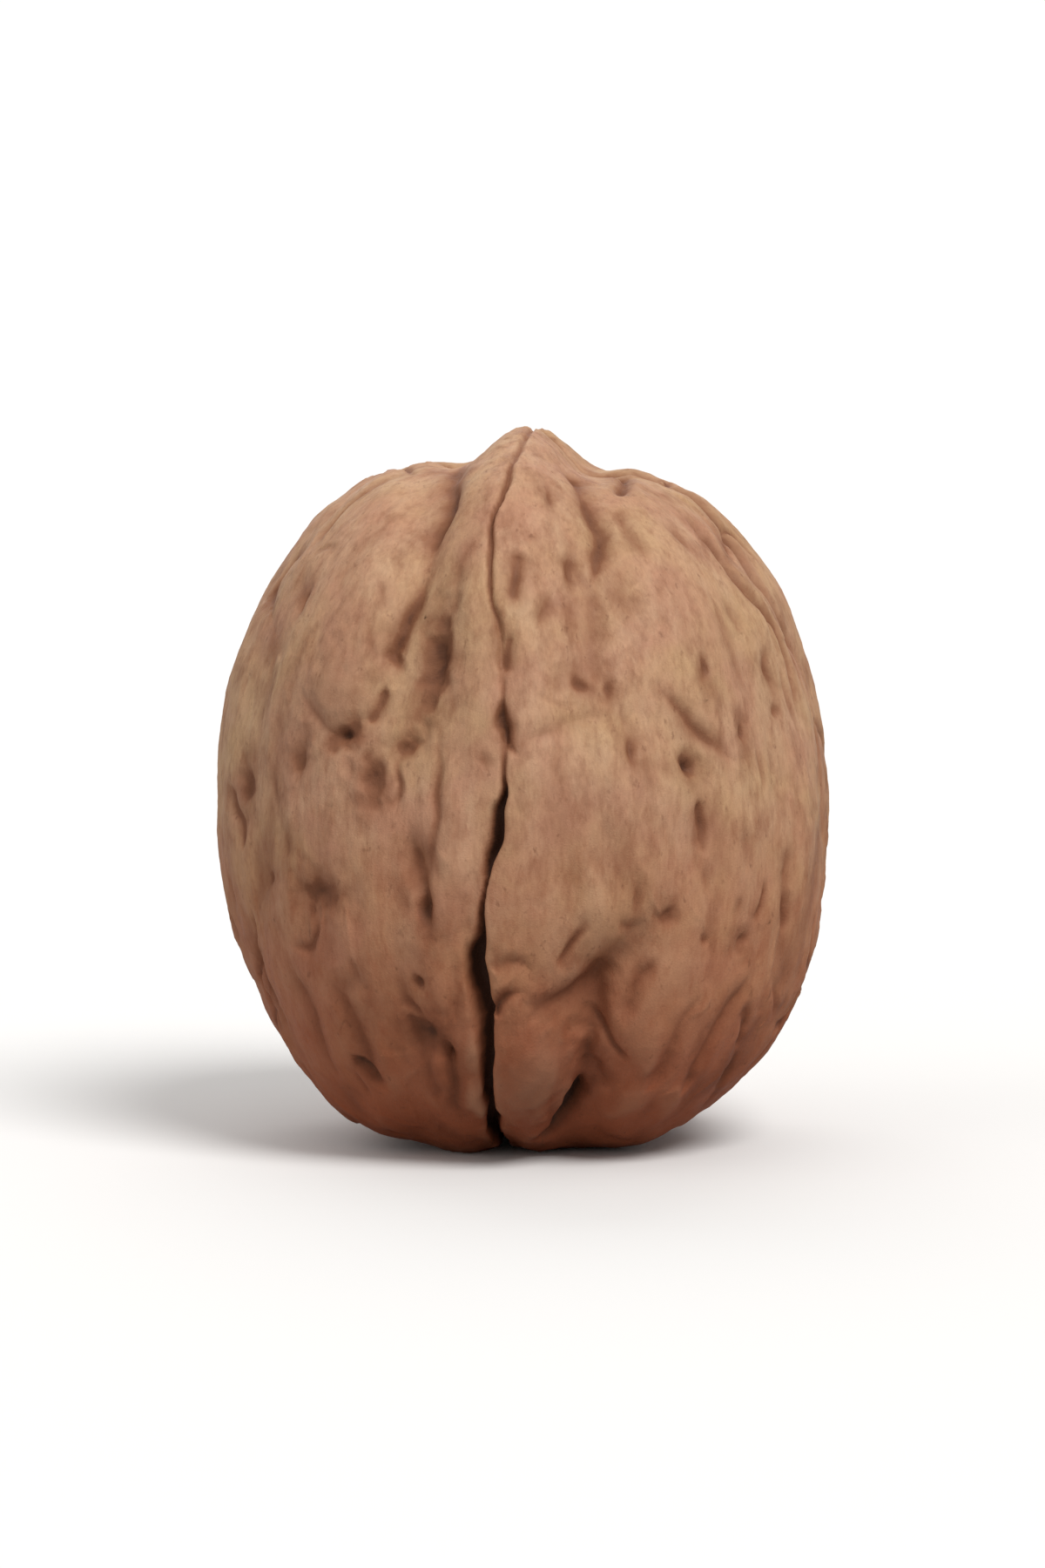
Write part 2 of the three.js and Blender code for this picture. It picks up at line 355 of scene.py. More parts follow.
LINES = (
    # The front's left half: the groove beside the seam's band, and what lies below it.
    Line(
        Cut.FURROW, 0.5, 0.55, 0.7,
        ((-47, 0.954), (-29, 0.936), (-20, 0.9), (-19, 0.846), (-20, 0.78)), (1.6, 4.8),
    ),
    Line(Cut.FURROW, 0.45, 0.42, 0.7, ((-19, 0.83), (-20, 0.76), (-21, 0.73), (-23, 0.69)), (3.2, 1.6)),
    Line(Cut.VALLEY, 0.3, 0.45, 0.5, ((-13, 0.745), (-12, 0.7), (-12, 0.66)), (0.8, 0.8)),
    Line(Cut.VALLEY, 0.24, 0.8, 0.2, ((-21, 0.9), (-17.5, 0.84), (-18.5, 0.77)), (2.4, 2.4)),
    Line(Cut.VALLEY, 0.2, 0.5, 0.35, ((-58, 0.82), (-52, 0.77), (-49, 0.74)), (1.6, 1.6)),
    Line(Cut.VALLEY, 0.35, 0.45, 0.5, ((-43, 0.67), (-39, 0.63), (-33, 0.603), (-28, 0.596)), (2.4, 0.8)),
    Line(Cut.FURROW, 0.35, 0.36, 0.65, ((-26, 0.608), (-23, 0.635), (-24, 0.668)), (0.8, 0.8)),
    Line(Cut.VALLEY, 0.3, 0.4, 0.5, ((-17, 0.588), (-14, 0.612), (-13, 0.64)), (0.5, 1.3)),
    Line(
        Cut.VALLEY, 0.5, 0.5, 0.55,
        ((-16, 0.51), (-15, 0.458), (-14, 0.428), (-12, 0.383), (-10, 0.34)), (3.2, 1.6),
    ),
    Line(Cut.FURROW, 0.4, 0.32, 0.75, ((-15, 0.295), (-13, 0.25)), (1, 1)),
    Line(
        Cut.VALLEY, 0.5, 0.55, 0.65,
        ((-13, 0.19), (-9.5, 0.162), (-9, 0.13), (-10, 0.09), (-9, 0.05)), (1.3, 2.4),
    ),
    Line(Cut.VALLEY, 0.4, 0.5, 0.5, ((-39, 0.274), (-31, 0.226), (-29, 0.163), (-30, 0.098)), (3.2, 1.6)),
    Line(Cut.FURROW, 0.45, 0.36, 0.8, ((-34, 0.165), (-31, 0.13), (-28, 0.1)), (1.3, 1.3)),
    Line(Cut.FURROW, 0.4, 0.4, 0.7, ((-62, 0.23), (-67, 0.17), (-72, 0.12)), (1.6, 1.6)),
    Line(Cut.VALLEY, 0.3, 0.45, 0.5, ((-18, 0.24), (-15, 0.146), (-14, 0.08)), (2.4, 1.6)),
    Line(Cut.VALLEY, 0.3, 0.45, 0.45, ((-48, 0.3), (-42, 0.21), (-43, 0.1)), (3.2, 1.6)),
    Line(Cut.VALLEY, -0.28, 0.34, 0, ((-5, 0.34), (-5, 0.25), (-5.5, 0.15), (-6, 0.06)), (2.4, 1.6)),
    # Strokes along the seam above its crack.
    Line(Cut.FURROW, 0.35, 0.42, 0.6, ((6.5, 0.85), (5.5, 0.8), (4, 0.76)), (0.9, 1.6)),
    Line(Cut.FURROW, 0.35, 0.34, 0.6, ((4, 0.75), (3, 0.685)), (0.8, 0.8)),
    Line(Cut.FURROW, 0.5, 0.34, 0.85, ((2, 0.669), (3, 0.634), (5, 0.609), (7, 0.58)), (1.6, 1.3)),
    Line(Cut.FURROW, 0.25, 0.3, 0.5, ((0, 0.6), (1, 0.56)), (1, 1)),
    # The front's right half, from the tip down.
    Line(
        Cut.FURROW, 0.42, 0.42, 0.7,
        ((40, 0.952), (32, 0.907), (31, 0.87), (27, 0.832), (23.5, 0.79)), (1.6, 2.4),
    ),
    Line(Cut.VALLEY, 0.35, 0.5, 0.58, ((25, 0.81), (22.5, 0.745), (22, 0.696), (24, 0.65)), (1.6, 2.4)),
    Line(Cut.FURROW, 0.45, 0.36, 0.65, ((86, 0.937), (60, 0.928), (43, 0.91)), (1.6, 1.3)),
    Line(Cut.VALLEY, 0.3, 0.4, 0.5, ((15, 0.8), (12, 0.775), (9, 0.745)), (1.3, 1.3)),
    Line(Cut.VALLEY, 0.25, 0.4, 0.4, ((39, 0.9), (38, 0.86), (41, 0.82)), (1.6, 2.4)),
    Line(Cut.VALLEY, 0.22, 0.4, 0.35, ((12, 0.72), (14, 0.68), (12, 0.65)), (1.6, 1.6)),
    Line(Cut.VALLEY, 0.25, 0.4, 0.4, ((58, 0.8), (60, 0.74), (59, 0.69)), (2.4, 2.4)),
    Line(Cut.VALLEY, 0.25, 0.4, 0.4, ((52, 0.5), (53, 0.44), (51, 0.39)), (2.4, 2.4)),
    Line(Cut.VALLEY, 0.2, 0.4, 0.35, ((20, 0.52), (22, 0.46), (19, 0.42)), (2.4, 2.4)),
    Line(Cut.VALLEY, 0.2, 0.4, 0.35, ((32, 0.5), (33, 0.45)), (1.6, 1.6)),
    Line(Cut.VALLEY, 0.25, 0.45, 0.3, ((6, 0.6), (11, 0.614), (19, 0.626), (26, 0.625)), (1.6, 2.4)),
    Line(
        Cut.FURROW, 0.28, 0.42, 0.5,
        ((31, 0.684), (38, 0.636), (41, 0.61), (46, 0.583), (54, 0.54)), (3.2, 4.8),
    ),
    Line(Cut.FURROW, 0.45, 0.38, 0.75, ((41.5, 0.515), (42, 0.48), (42, 0.43)), (0.8, 1.3)),
    Line(Cut.VALLEY, 0.25, 0.45, 0.4, ((42, 0.44), (44, 0.37)), (1.3, 1.6)),
    Line(Cut.FURROW, 0.35, 0.36, 0.6, ((64, 0.395), (64.5, 0.35), (64, 0.3)), (1.6, 1.6)),
    # The short creases by the crack, and the tongue between the crack and the furrow to its right.
    Line(Cut.VALLEY, 0.3, 0.32, 0.5, ((1, 0.286), (4, 0.295), (7, 0.291), (10, 0.277)), (0.4, 1.6)),
    Line(Cut.FURROW, 0.5, 0.34, 0.75, ((0.5, 0.222), (2.5, 0.243), (5, 0.256), (8, 0.262)), (0.3, 1.6)),
    Line(
        Cut.VALLEY, 0.45, 0.6, 0.55,
        ((6, 0.2), (10, 0.225), (16, 0.25), (21, 0.268), (25, 0.3)), (2.4, 0.8),
    ),
    Line(
        Cut.VALLEY, 0.5, 0.75, 0.42,
        ((29, 0.36), (25, 0.314), (22, 0.267), (21, 0.23), (22, 0.18)), (4.0, 1.6),
    ),
    Line(Cut.VALLEY, 0.6, 0.5, 0.6, ((21, 0.215), (22.5, 0.17), (23, 0.127), (21, 0.08)), (1.6, 1.6)),
    Line(Cut.FURROW, 1.0, 0.42, 1.1, ((23, 0.14), (22, 0.095), (18.5, 0.055), (12, 0.01)), (2.8, 0.3)),
    Line(Cut.VALLEY, 0.42, 0.42, 0.5, ((22, 0.16), (27, 0.125), (32, 0.095)), (0.6, 1.6)),
    Line(Cut.VALLEY, 0.35, 0.45, 0.5, ((28, 0.2), (29, 0.252), (34, 0.31)), (1.6, 1.6)),
    Line(Cut.VALLEY, 0.3, 0.45, 0.45, ((37, 0.1), (39, 0.181), (44, 0.26)), (1.6, 2.4)),
    Line(Cut.VALLEY, 0.35, 0.42, 0.5, ((47, 0.09), (49, 0.16), (54, 0.23), (57, 0.28)), (1.6, 2.4)),
    # The +X cheek.
    Line(Cut.FURROW, 0.4, 0.36, 0.55, ((66, 0.9), (69, 0.8), (76, 0.72), (75, 0.58)), (4.8, 4.8)),
    Line(
        Cut.FURROW, 0.65, 0.38, 0.8,
        ((90, 0.96), (86, 0.8), (92, 0.62), (88, 0.45), (93, 0.25), (90, 0.06)),
    ),
    Line(Cut.FURROW, 0.5, 0.38, 0.65, ((122, 0.92), (116, 0.74), (124, 0.52), (118, 0.3), (123, 0.1))),
    Line(Cut.FURROW, 0.35, 0.3, 0.6, ((91, 0.6), (101, 0.55), (106, 0.44), (119, 0.36))),
    Line(Cut.FURROW, 0.35, 0.3, 0.5, ((90, 0.4), (80, 0.33), (78, 0.22), (70, 0.13))),
    # The -X cheek.
    Line(
        Cut.FURROW, 0.6, 0.38, 0.75,
        ((-90, 0.96), (-94, 0.78), (-88, 0.6), (-93, 0.42), (-89, 0.22), (-91, 0.05)),
    ),
    Line(Cut.FURROW, 0.45, 0.38, 0.65, ((-120, 0.9), (-127, 0.68), (-120, 0.46), (-125, 0.2))),
    Line(Cut.FURROW, 0.35, 0.3, 0.6, ((-90, 0.5), (-80, 0.43), (-76, 0.33), (-66, 0.26))),
    Line(Cut.FURROW, 0.35, 0.3, 0.5, ((-125, 0.62), (-113, 0.56), (-104, 0.47), (-92, 0.4))),
    # Back, beside the seam.
    Line(Cut.FURROW, 0.45, 0.38, 0.6, ((156, 0.94), (151, 0.8), (156, 0.6), (150, 0.4), (155, 0.18))),
    Line(
        Cut.FURROW, 0.45, 0.38, 0.6,
        ((-153, 0.93), (-160, 0.76), (-153, 0.56), (-159, 0.36), (-152, 0.12)),
    ),
    Line(Cut.FURROW, 0.35, 0.3, 0.5, ((153, 0.5), (141, 0.44), (136, 0.33), (121, 0.27))),
    Line(Cut.FURROW, 0.35, 0.3, 0.5, ((-156, 0.66), (-146, 0.6), (-141, 0.5), (-123, 0.43))),
)

# The dents of the front, the left half and then the right. A dent of less than no depth is a swelling.
PITS = (
    Pit((-33, 0.655), -0.35, 5.0, 4.5),
    Pit((-12, 0.705), 0.6, 1.7, 5.0, -3),
    Pit((-22, 0.7), 0.5, 0.9, 1.4, 10),
    Pit((-30, 0.6), 0.65, 2.3, 1.3, 12),
    Pit((-17.5, 0.585), 0.5, 1.6, 1.3, 30),
    Pit((-24, 0.545), 0.55, 1.5, 2.5, 15),
    Pit((-41, 0.563), 0.4, 1.3, 1.9),
    Pit((-59, 0.512), 0.45, 1.4, 2.3),
    Pit((-44, 0.44), 0.25, 1.0, 1.8),
    Pit((-51, 0.389), 0.35, 1.1, 1.3),
    Pit((-35, 0.384), 0.5, 2.8, 1.5),
    Pit((-38, 0.36), 0.35, 1.0, 1.8),
    Pit((-11.5, 0.365), 0.6, 1.0, 2.3, 14),
    Pit((-14, 0.189), 0.65, 2.0, 1.7),
    Pit((-9, 0.16), 0.5, 1.3, 1.3),
    Pit((11, 0.13), -0.3, 4.2, 9.0),
    Pit((16, 0.91), 0.3, 0.8, 2.0),
    Pit((19, 0.82), 0.35, 0.8, 2.2, -12),
    Pit((19, 0.672), 0.45, 1.1, 1.9, 35),
    Pit((24, 0.662), 0.35, 0.8, 1.7, -20),
    Pit((26, 0.591), 0.4, 0.8, 1.7),
    Pit((39, 0.556), 0.7, 1.1, 1.6, 30),
    Pit((46, 0.683), 0.4, 0.7, 2.1),
    Pit((54, 0.594), 0.4, 0.9, 1.4),
    Pit((66, 0.673), 0.35, 0.9, 2.0),
    Pit((34, 0.36), 0.35, 1.0, 1.1),
    Pit((43, 0.32), 0.3, 0.8, 0.9),
    Pit((52, 0.316), 0.35, 1.1, 1.3),
    Pit((22, 0.255), 0.2, 2.0, 2.4),
)


@dataclass
class ScatteredPits:
    """Dents at random places, drawn out along the shell. Each range is (least, most), in mm."""

    count: int = 80
    seed: int = 7
    shares: tuple[float, float] = (0.07, 0.86)
    depth: tuple[float, float] = (0.15, 0.45)
    width: tuple[float, float] = (0.45, 1.1)
    stretch: tuple[float, float] = (1.5, 4.5)
    lean: tuple[float, float] = (-18, 18)
    front: tuple[float, float] = (-50, 62)  # angles that the front's own dents fill
    front_depth: float = 0.45  # how deep a dent is there, against elsewhere

    def pits(self) -> list[Pit]:
        """Draws the dents, the same ones each time.

        Returns:
            The dents.
        """
        draw = random.Random(self.seed)
        pits = []
        for _ in range(self.count):
            angle = draw.uniform(-180, 180)
            share = draw.uniform(*self.shares)
            depth = draw.uniform(*self.depth)
            if self.front[0] < angle < self.front[1]:
                depth *= self.front_depth
            width = draw.uniform(*self.width)
            length = width * draw.uniform(*self.stretch)
            pits.append(Pit((angle, share), depth, width, length, draw.uniform(*self.lean)))
        return pits


@dataclass(frozen=True)
class FurrowShape:
    """What all furrows share. Lengths are in mm, and the rest are shares of a furrow's own sizes."""

    usual: float = 0.85  # its depth, before it comes and goes
    uneven: float = 0.25  # how much a short furrow's depth comes and goes
    uneven_per_mm: float = 0.03  # how much more for each mm of its length
    most_uneven: float = 0.85
    uneven_size: float = 4.5
    extremes: tuple[float, float] = (0.15, 1.2)  # its least and greatest depth before it fades out
    narrowest: float = 0.3  # how wide it is where it fades out
    lip: float = 0.16  # how high its lips stand
    lip_at: float = 2.1  # how far they are from its middle
    margin: float = 7.0  # how far off it ends
    ending: float = 0.6  # the share of that where it starts to end
    halo: float = 1.7  # how far its soft halo of brown and painted shade reaches
    core: float = 0.4  # how far its darkest line of brown and painted shade reaches
    browns: tuple[float, float, float] = (0.55, 0.4, 0.2)  # the browns of the cut, the halo and the core, each with painted shade in and round the furrow


@dataclass(frozen=True)
class DentShape:
    """What all dents share. A share is of a dent's own size."""

    outline: tuple[tuple[float, float], ...] = ((0.5, 0.9), (0.15, 0.4))  # share, and size in mm
    margin: float = 1.7  # how far off it ends
    ending: float = 0.6
    hollow: tuple[float, float] = (0.8, 2.3)  # its reach and squareness
    brown: tuple[float, float] = (1.0, 2.2)  # the reach and squareness of its brown and painted shade
    least_brown: float = 0.22
    # painted shade: a dent is browner the deeper it is
    brown_per_mm: float = 1.05
    most_brown: float = 0.9
    swelling_brown: float = 0.34


@dataclass(frozen=True)
class Tip:
    """The hollows on both sides of the tip. Sizes are in mm."""

    shares: tuple[float, float] = (0.9, 0.95)  # the shares of the height where they start and are full
    ridge: float = 0.4  # how far the tip's ridge is towards +X
    right: tuple[float, float] = (4.0, 1.7)  # how far towards +X its middle is, and how far it reaches
    left: tuple[float, float] = (-3.1, 1.3)
    along: float = 5.5  # how far both reach along the seam
    depth: float = 0.6


@dataclass(frozen=True)
class Skin:
    """The skin between the furrows. Sizes are in mm, and a brown with its painted shade is from 0 to 1."""

    rough_below: tuple[float, float] = (0.25, 0.7)  # shares of the height: roughest below, calmest above
    least: float = 0.3  # how much relief the calmest skin has, against the roughest
    clear_patches: float = 0.4  # and how much its clear patches have
    patch_size: float = 8.0
    cheeks: tuple[float, float] = (50, 75)  # degrees from the front's middle: where the cheeks start
    front_middle: float = 6.0  # degrees
    calm_front: tuple[float, float] = (0.5, 0.68)  # shares of the height: the front is smooth above
    calmed: float = 0.75  # how much relief it loses there
    tongue: Place = (11, 0.14)  # the smooth tongue beside the crack
    tongue_reach: tuple[float, float] = (12, 0.13)
    bends: tuple[Bend, ...] = (Bend(1.4, 6, 5), Bend(0.5, 2, 6))
    drawn_out: float = 0.23  # how wide a fold is, against its length
    fold_size: float = 1.9
    fold_rise: float = 0.3
    # brown with painted shade in the hollows between the folds
    fold_stain_and_shade: float = 0.5
    vein_size: float = 2.6
    vein_rise: float = 0.1
    crease_size: float = 4.2
    crease_depth: float = 0.26
    # brown with painted shade in the thin creases
    crease_stain_and_shade: float = 0.55
    plate: tuple[float, float] = (6.0, 15.0)  # the plates of the cheeks and back: width and length
    plate_edge: float = 0.26  # how far the crease round a plate reaches
    plate_depth: float = 0.28
    # brown with painted shade in the creases round the plates
    plate_stain_and_shade: float = 0.6
    plate_swell: float = 0.15


@dataclass(frozen=True)
class Unevenness:
    """Fine relief all over. Sizes are in mm."""

    rise: float
    size: float
    seed: int
    drawn_out: float = 1.0  # how wide it is, against its length down the shell


FINE_RELIEF = (
    Unevenness(0.22, 6.5, 7),
    Unevenness(0.11, 1.9, 8, 0.35),
    Unevenness(0.05, 0.8, 9, 0.35),
)
PORES = Unevenness(0.022, 0.42, 10)


@dataclass
class Carving:
    """The relief of the shell, gathered point by point. Lengths are in mm."""

    points: np.ndarray  # each point of the smooth shell
    height: float
    middle: float  # height of the widest section
    surface: bvhtree.BVHTree  # the smooth shell, in mm
    rise: np.ndarray = field(init=False)  # how far each point moves outwards
    stain_and_shade: np.ndarray = field(init=False)  # how brown each point is, with painted shade in its hollows and its crack, from 0 to 1

    half_round: float = 55.0  # length down the shell from the tip to the foot
    round_the_waist: float = 17.5  # radius of the grain's own cylinder
    gathering: float = 0.55  # how fast the grain narrows towards the tip and the foot
    bends: tuple[Bend, ...] = (Bend(0.45, 3.5, 1), Bend(0.16, 1.1, 2))  # of all outlines
    furrows: FurrowShape = FurrowShape()
    dents: DentShape = DentShape()
    seam_bends: float = 0.5  # how much of the bends the seam takes
    seam_uneven: float = 0.3  # how much its crack's width comes and goes
    seam_uneven_size: float = 2.2
    seam_lip: float = 0.12  # how high its lips stand, against its depth
    seam_lip_at: tuple[float, float] = (2.4, 1.3)  # their place and width, against the crack's
    seam_browns: tuple[float, float, float] = (0.2, 1.2, 1.6)  # the crack's brown, deeper parts darker as painted shade: least, more for each mm deep, and most

    def __post_init__(self) -> None:
        """Works out where each point lies on the shell."""
        self.rise = np.zeros(len(self.points))
        self.stain_and_shade = np.zeros(len(self.points))
        x, y, z = self.points.T
        self.share = np.clip(z / self.height, 0, 1)
        self.is_front = y < 0
        angle = np.arctan2(x, -y)
        self.degrees = np.degrees(angle)
        polar = np.arctan2(np.hypot(x, y), z - self.middle)
        radius = self.round_the_waist * np.sin(polar) ** self.gathering
        down = polar / math.pi * self.half_round
        self.grain = np.stack([radius * np.sin(angle), -radius * np.cos(angle), down], axis=1)
        self.wandering = bent(self.points, self.bends)

    def place(self, place: Place) -> Vector:
        """Finds a place on the smooth shell.

        Args:
            place: Its angle and its share of the height.

        Returns:
            Its point.
        """
        angle = math.radians(place[0])
        start = Vector((0, 0, place[1] * self.height))
        hit = self.surface.ray_cast(start, Vector((math.sin(angle), -math.cos(angle), 0)))[0]
        return hit or start

    def route(self, places: Sequence[Place], step: float = 0.08) -> np.ndarray:
        """Draws a smooth line through places on the shell.

        Args:
            places: The places, in order.
            step: About how far apart its points are, in mm.

        Returns:
            Its points, one to a row.
        """
        ends = [places[0], *places, places[-1]]
        drawn = []
        for before, start, end, after in zip(ends, ends[1:], ends[2:], ends[3:]):
            a, b, c, d = (np.array(p, float) for p in (before, start, end, after))
            length = (self.place(start) - self.place(end)).length
            t = np.arange(0, 1, step / max(length, step))[:, None]
            curve = 2 * b + (c - a) * t + (2 * a - 5 * b + 4 * c - d) * t**2 + (3 * b - a - 3 * c + d) * t**3
            drawn += [self.place(place) for place in (curve / 2).tolist()]
        return np.array(drawn)

    def press_in(self, depth: np.ndarray, stain_and_shade: np.ndarray) -> None:
        """Lowers the shell, and browns it with painted shade.

        Args:
            depth: How far each point goes in.
            stain_and_shade: How brown it becomes there, with painted shade.
        """
        self.rise -= depth
        self.stain_and_shade = np.maximum(self.stain_and_shade, stain_and_shade)

    def strength(self, line: Line, drawn: np.ndarray, seed: int) -> np.ndarray:
        """Works out how a line's depth comes and goes along it.

        Args:
            line: The line.
            drawn: Its points, one to a row.
            seed: Which of the uneven depths it has.

        Returns:
            A share of its depth for each of its points.
        """
        shape = self.furrows
        steps = np.linalg.norm(np.diff(drawn, axis=0), axis=1)
        along = np.concatenate([[0], np.cumsum(steps)])
        uneven = min(shape.uneven + shape.uneven_per_mm * along[-1], shape.most_uneven)
        strength = np.clip(shape.usual + uneven * noise_at(drawn, shape.uneven_size, seed), *shape.extremes)
        fade_in = smoothstep(0, line.fade[0], along)
        fade_out = smoothstep(0, line.fade[1], along[-1] - along)
        return strength * (fade_in * fade_out)

    def cut_line(self, line: Line, seed: int) -> None:
        """Cuts a line, deeper and shallower by turns, with a low lip on each side.

        Args:
            line: The line.
            seed: Which of the uneven depths it has.
        """
        shape = self.furrows
        drawn = self.route(line.route)
        tree = kdtree.KDTree(len(drawn))
        for i, point in enumerate(drawn):
            tree.insert(point, i)
        tree.balance()
        margin = shape.margin * line.reach
        inside = (self.wandering > drawn.min(0) - margin) & (self.wandering < drawn.max(0) + margin)
        near = np.flatnonzero(inside.all(axis=1))
        found = [tree.find(point)[1:] for point in self.wandering[near].tolist()]
        index, distance = np.array(found).T
        strength = self.strength(line, drawn, seed)[index.astype(int)]
        edge = 1 - smoothstep(shape.ending * margin, margin, distance)
        width = line.reach * (shape.narrowest + (1 - shape.narrowest) * strength)
        felt = notch(distance, width, line.cut.value) * edge
        lip = shape.lip * np.exp(-((distance / line.reach - shape.lip_at) ** 2))
        halo = notch(distance, shape.halo * line.reach, 2) * edge
        core = notch(distance, shape.core * line.reach, 3) if line.cut is Cut.FURROW else 0
        # brown with painted shade: in the cut, in a soft halo round it, and darkest along its core
        brown = shape.browns[0] * felt + shape.browns[1] * halo + shape.browns[2] * core
        depth = np.zeros(len(self.points))
        stain_and_shade = np.zeros(len(self.points))
        depth[near] = line.depth * strength * (felt - lip)
        stain_and_shade[near] = line.stain_and_shade * np.clip(shape.extremes[1] * strength, 0, 1) * brown
        self.press_in(depth, stain_and_shade)

    def dent(self, pit: Pit, seed: int) -> None:
        """Presses one dent in.

        Args:
            pit: The dent.
            seed: Which uneven outline it has.
        """
        shape = self.dents
        middle = np.array(self.place(pit.place))
        reach = shape.margin * max(pit.width, pit.length)
        near = np.flatnonzero((np.abs(self.wandering - middle) < reach).all(axis=1))
        if not len(near):
            return
        angle = math.radians(pit.place[0])
        across = np.array([math.cos(angle), math.sin(angle), 0])
        outward = middle - np.array([0, 0, self.middle])
        down = np.cross(outward / np.linalg.norm(outward), across)
        lean = math.radians(pit.lean)
        gap = self.wandering[near] - middle
        side = gap @ (across * math.cos(lean) + down * math.sin(lean)) / (pit.width / 2)
        length = gap @ (down * math.cos(lean) - across * math.sin(lean)) / (pit.length / 2)
        outline = np.ones(len(near))
        for share, size in shape.outline:
            outline += share * noise_at(self.points[near], size, seed)
        apart = np.hypot(side, length) * outline
        edge = 1 - smoothstep(shape.ending, 1, np.linalg.norm(gap, axis=1) / reach)
        depth = np.zeros(len(self.points))
        stain_and_shade = np.zeros(len(self.points))
        depth[near] = pit.depth * notch(apart, *shape.hollow) * edge
        # a dent is browned more the deeper it is, brown with painted shade; a swelling gets its own brown
        brown = min(shape.least_brown + shape.brown_per_mm * pit.depth, shape.most_brown)
        if pit.depth < 0:
            brown = shape.swelling_brown
        stain_and_shade[near] = brown * notch(apart, *shape.brown) * edge
        self.press_in(depth, stain_and_shade)

    def open_seam(self, side: SeamSide, is_side: np.ndarray) -> None:
        """Opens the crack along one side of the seam.

        Args:
            side: That side's sizes.
            is_side: Which points are on that side.
        """
        across = self.wandering[:, 0] * self.seam_bends + self.points[:, 0] * (1 - self.seam_bends)
        line = across - eased(side.sway, self.share)
        uneven = self.seam_uneven * noise_at(self.grain, self.seam_uneven_size, 3)
        gape = eased(side.gape, self.share) * (1 + uneven)
        felt = np.where(is_side, notch(line, gape, Cut.CRACK.value), 0)
        from_lip = (np.abs(line) / gape - self.seam_lip_at[0]) / self.seam_lip_at[1]
        lip = np.where(is_side, self.seam_lip * np.exp(-(from_lip**2)), 0)
        depth = eased(side.depth, self.share)
        least, per_mm, most = self.seam_browns
        # the crack darkens with its depth, to black: painted shade, over a thin brown seam line
        self.press_in(depth * (felt - lip), felt * np.minimum(least + per_mm * depth, most))

    def pinch(self, tip: Tip) -> None:
        """Hollows both flanks of the tip, so that it stands up from the shoulders as a point.

        Args:
            tip: The hollows' sizes.
        """
        x, y, _ = self.points.T
        flanks = [(x - middle) / reach for middle, reach in (tip.right, tip.left)]
        aside = np.where(x > tip.ridge, *flanks)
        top = smoothstep(*tip.shares, self.share)
        self.rise -= top * tip.depth * np.exp(-(aside**2) - (y / tip.along) ** 2)

    def calmness(self, skin: Skin, aside: np.ndarray) -> np.ndarray:
        """Works out how much of the skin's relief is left on the front's smooth stretches.

        Args:
            skin: The skin's sizes.
            aside: How much each point belongs to the cheeks and back, from 0 to 1.

        Returns:
            1 where all is left and 0 where none is.
        """
        calm = 1 - skin.calmed * (1 - aside) * smoothstep(*skin.calm_front, self.share)
        degrees = (self.degrees - skin.tongue[0]) / skin.tongue_reach[0]
        share = (self.share - skin.tongue[1]) / skin.tongue_reach[1]
        return calm * smoothstep(0.75, 1.2, np.hypot(degrees, share))

    def wrinkle(self, skin: Skin) -> None:
        """Works the skin: lengthwise hollows between low veins, and thin broken creases.

        Args:
            skin: Its sizes.
        """
        low = 1 - smoothstep(*skin.rough_below, self.share)
        patches = smoothstep(-0.3, 0.35, noise_at(self.grain, skin.patch_size, 4))
        amount = (skin.least + (1 - skin.least) * low) * (
            skin.clear_patches + (1 - skin.clear_patches) * patches
        )
        aside = smoothstep(*skin.cheeks, np.abs(self.degrees - skin.front_middle))
        calm = self.calmness(skin, aside)
        warped = bent(self.grain, skin.bends)
        self.fold(skin, warped, calm * amount)
        self.crease(skin, warped, calm)
        self.plate(skin, warped, aside)

    def fold(self, skin: Skin, warped: np.ndarray, amount: np.ndarray) -> None:
        """Draws out lengthwise folds, browns the hollows between them with painted shade, and adds low veins.

        Args:
            skin: The skin's sizes.
            warped: The grain, bent this way and that.
            amount: How much relief each point takes, from 0 to 1.
        """
        lengthwise = warped * np.array([1, 1, skin.drawn_out])
        fold = noise_at(lengthwise, skin.fold_size, 11)
        self.rise += amount * skin.fold_rise * fold
        # the hollows between the folds are browned with painted shade, the deeper the darker
        self.stain_and_shade = np.maximum(self.stain_and_shade, skin.fold_stain_and_shade * amount * smoothstep(0.05, 0.6, -fold))
        vein = np.abs(noise_at(lengthwise + 50, skin.vein_size, 15))
        vein = np.exp(-((vein / 0.07) ** 2)) * smoothstep(-0.1, 0.3, noise_at(self.grain, 4, 16))
        self.rise += amount * skin.vein_rise * vein

    def crease(self, skin: Skin, warped: np.ndarray, calm: np.ndarray) -> None:
        """Cuts thin creases that break off and start again.

        Args:
            skin: The skin's sizes.
            warped: The grain, bent this way and that.
            calm: How much of the relief each point keeps, from 0 to 1.
        """
        level = np.abs(noise_at(warped * np.array([1, 1, 0.4]), skin.crease_size, 12))
        felt = notch(level, 0.06, 3) * calm * smoothstep(0.0, 0.4, noise_at(self.grain, 4.5, 13))
        # the creases are browned, partly with painted shade
        self.press_in(skin.crease_depth * felt, skin.crease_stain_and_shade * felt)

